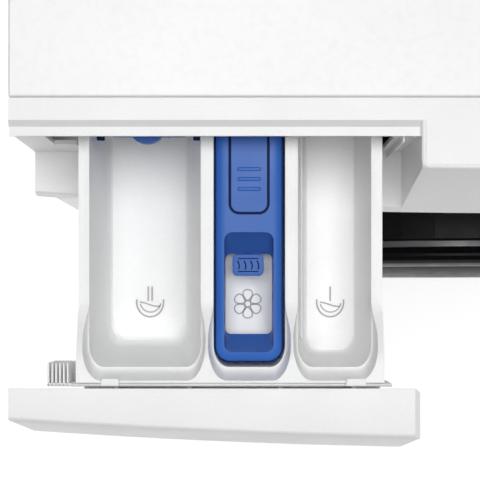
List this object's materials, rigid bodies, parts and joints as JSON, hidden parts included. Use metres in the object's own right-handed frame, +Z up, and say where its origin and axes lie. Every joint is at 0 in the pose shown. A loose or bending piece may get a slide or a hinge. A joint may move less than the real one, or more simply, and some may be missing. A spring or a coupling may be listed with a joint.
{
  "type": "front load washing machine",
  "caption": "White front load washing machine, detergent drawer pulled out, glossy black door, and a sprung tub with its drum, belt drive, water parts and levelling feet inside.",
  "frame": {"origin": "on the floor, under the middle of the bounding box, with the detergent drawer pulled out as drawn", "axes": "+Z up, -Y out of the machine's front, +X to the right of a user who faces the front"},
  "size_m": [0.6, 0.6966, 0.85],
  "materials": {
    "worktop_white": "smooth white laminate",
    "panel_white": "white enamel",
    "rear_grey": "galvanised sheet",
    "fascia_white": "satin white",
    "base_grey": "moulded",
    "foot_rubber": "black rubber",
    "window_black": "gloss black",
    "board_green": "circuit board",
    "knob_white": "satin white",
    "button_grey": "satin grey",
    "tray_white": "translucent white",
    "carrier_white": "moulded",
    "insert_blue": "satin blue",
    "housing_grey": "moulded",
    "door_black": "gloss black",
    "trim_grey": "dark grey",
    "door_glass": "clear",
    "hinge_metal": "painted black",
    "hook_metal": "zinc",
    "lock_black": "moulded",
    "gasket_grey": "grey rubber",
    "tub_plastic": "filled plastic",
    "drum_steel": "stainless",
    "lifter_white": "moulded",
    "spider_alu": "cast",
    "bearing_steel": "ground",
    "belt_black": "ribbed",
    "motor_iron": "laminated core",
    "concrete": "cast",
    "heater_steel": "bright",
    "spring_steel": "oiled",
    "damper_grey": "moulded",
    "hose_black": "pleated",
    "pump_white": "moulded",
    "cap_grey": "moulded",
    "valve_white": "moulded"
  },
  "bodies": {
    "cabinet": {"worktop": "worktop_white", "left_side_panel": "panel_white", "right_side_panel": "panel_white", "rear_panel": "rear_grey", "rear_cover": "rear_grey", "front_panel": "panel_white", "base_frame": "base_grey", "foot_front_left": "foot_rubber", "foot_front_right": "foot_rubber", "foot_rear_left": "foot_rubber", "foot_rear_right": "foot_rubber", "cross_beam": "rear_grey", "fascia": "fascia_white", "display_window": "window_black", "control_board": "board_green", "dispenser_housing": "housing_grey", "door_hinge_bracket": "hinge_metal", "door_lock": "lock_black", "damper_tube_left": "damper_grey", "damper_tube_right": "damper_grey", "drain_pump": "pump_white", "inlet_valve": "valve_white"},
    "filter_door": {"filter_flap": "panel_white"},
    "filter_cap": {"pump_filter_cap": "cap_grey"},
    "knob": {"program_knob": "knob_white"},
    "start": {"start_button": "button_grey"},
    "option_1": {"option_button_1": "button_grey"},
    "option_2": {"option_button_2": "button_grey"},
    "drawer": {"drawer_front": "fascia_white", "drawer_carrier": "carrier_white", "drawer_tray": "tray_white"},
    "siphon": {"softener_insert": "insert_blue"},
    "powder_flap": {"detergent_flap": "insert_blue"},
    "door": {"door_back_frame": "door_black", "door_trim_ring": "trim_grey", "door_ring": "door_black", "door_glass": "door_glass", "door_hinge_arm": "hinge_metal"},
    "hook": {"door_hook": "hook_metal"},
    "tub": {"tub_front": "tub_plastic", "tub_rear": "tub_plastic", "drum_bearing": "bearing_steel", "heater": "heater_steel", "motor": "motor_iron", "drive_belt": "belt_black", "front_counterweight": "concrete", "door_gasket": "gasket_grey", "damper_rod_left": "damper_grey", "damper_rod_right": "damper_grey", "suspension_spring_left": "spring_steel", "suspension_spring_right": "spring_steel", "dispenser_hose": "hose_black", "sump_hose": "hose_black"},
    "drum": {"drum": "drum_steel", "drum_lifter_1": "lifter_white", "drum_lifter_2": "lifter_white", "drum_lifter_3": "lifter_white", "drum_spider": "spider_alu", "drum_pulley": "spider_alu"},
    "rotor": {"motor_pulley": "bearing_steel"}
  },
  "joints": [
    {"name": "drawer_slide", "type": "slide", "parent": "cabinet", "child": "drawer", "axis": [0, -1, 0], "range_m": [-0.143, 0]},
    {"name": "siphon_lift", "type": "slide", "parent": "drawer", "child": "siphon", "axis": [0, 0, 1], "range_m": [0, 0.005]},
    {"name": "powder_flap_hinge", "type": "hinge", "parent": "drawer", "child": "powder_flap", "pos_m": [-0.2284, -0.16474, 0.8225], "axis": [-1, 0, 0], "range_deg": [0, 75]},
    {"name": "door_hinge", "type": "hinge", "parent": "cabinet", "child": "door", "pos_m": [-0.237, -0.22414, 0.43], "axis": [0, 0, -1], "range_deg": [0, 120]},
    {"name": "hook_pivot", "type": "hinge", "parent": "door", "child": "hook", "pos_m": [0.207, -0.20414, 0.43], "axis": [0, 0, 1], "range_deg": [0, 5], "stiffness_Nm_per_rad": 0.05, "springref_deg": -5.73},
    {"name": "knob_turn", "type": "hinge", "parent": "cabinet", "child": "knob", "pos_m": [0.03, -0.19872, 0.792], "axis": [0, -0.989, 0.1481], "continuous": true},
    {"name": "start_press", "type": "slide", "parent": "cabinet", "child": "start", "axis": [0, 0.989, -0.1481], "range_m": [0, 0.0015], "stiffness_N_per_m": 300, "springref_m": -0.001},
    {"name": "option_1_press", "type": "slide", "parent": "cabinet", "child": "option_1", "axis": [0, 0.989, -0.1481], "range_m": [0, 0.0015], "stiffness_N_per_m": 200, "springref_m": -0.001},
    {"name": "option_2_press", "type": "slide", "parent": "cabinet", "child": "option_2", "axis": [0, 0.989, -0.1481], "range_m": [0, 0.0015], "stiffness_N_per_m": 200, "springref_m": -0.001},
    {"name": "filter_door_hinge", "type": "hinge", "parent": "cabinet", "child": "filter_door", "pos_m": [0.2, -0.19414, 0.0456], "axis": [1, 0, 0], "range_deg": [0, 100]},
    {"name": "filter_cap_turn", "type": "hinge", "parent": "cabinet", "child": "filter_cap", "pos_m": [0.2, -0.17914, 0.092], "axis": [0, -1, 0], "range_deg": [0, 90]},
    {"name": "tub_bounce", "type": "slide", "parent": "cabinet", "child": "tub", "axis": [0, 0, 1], "range_m": [-0.006, 0.006], "stiffness_N_per_m": 9000, "springref_m": 0.03985, "deforming": ["suspension_spring_left", "suspension_spring_right", "dispenser_hose", "sump_hose"]},
    {"name": "drum_spin", "type": "hinge", "parent": "tub", "child": "drum", "pos_m": [0, 0.05, 0.43], "axis": [0, 1, 0], "continuous": true},
    {"name": "motor_spin", "type": "hinge", "parent": "tub", "child": "rotor", "pos_m": [-0.06, 0.27, 0.108], "axis": [0, 1, 0], "continuous": true}
  ],
  "couplings": [
    {"joint": "motor_spin", "follows": "drum_spin", "ratio": 10.8}
  ]
}
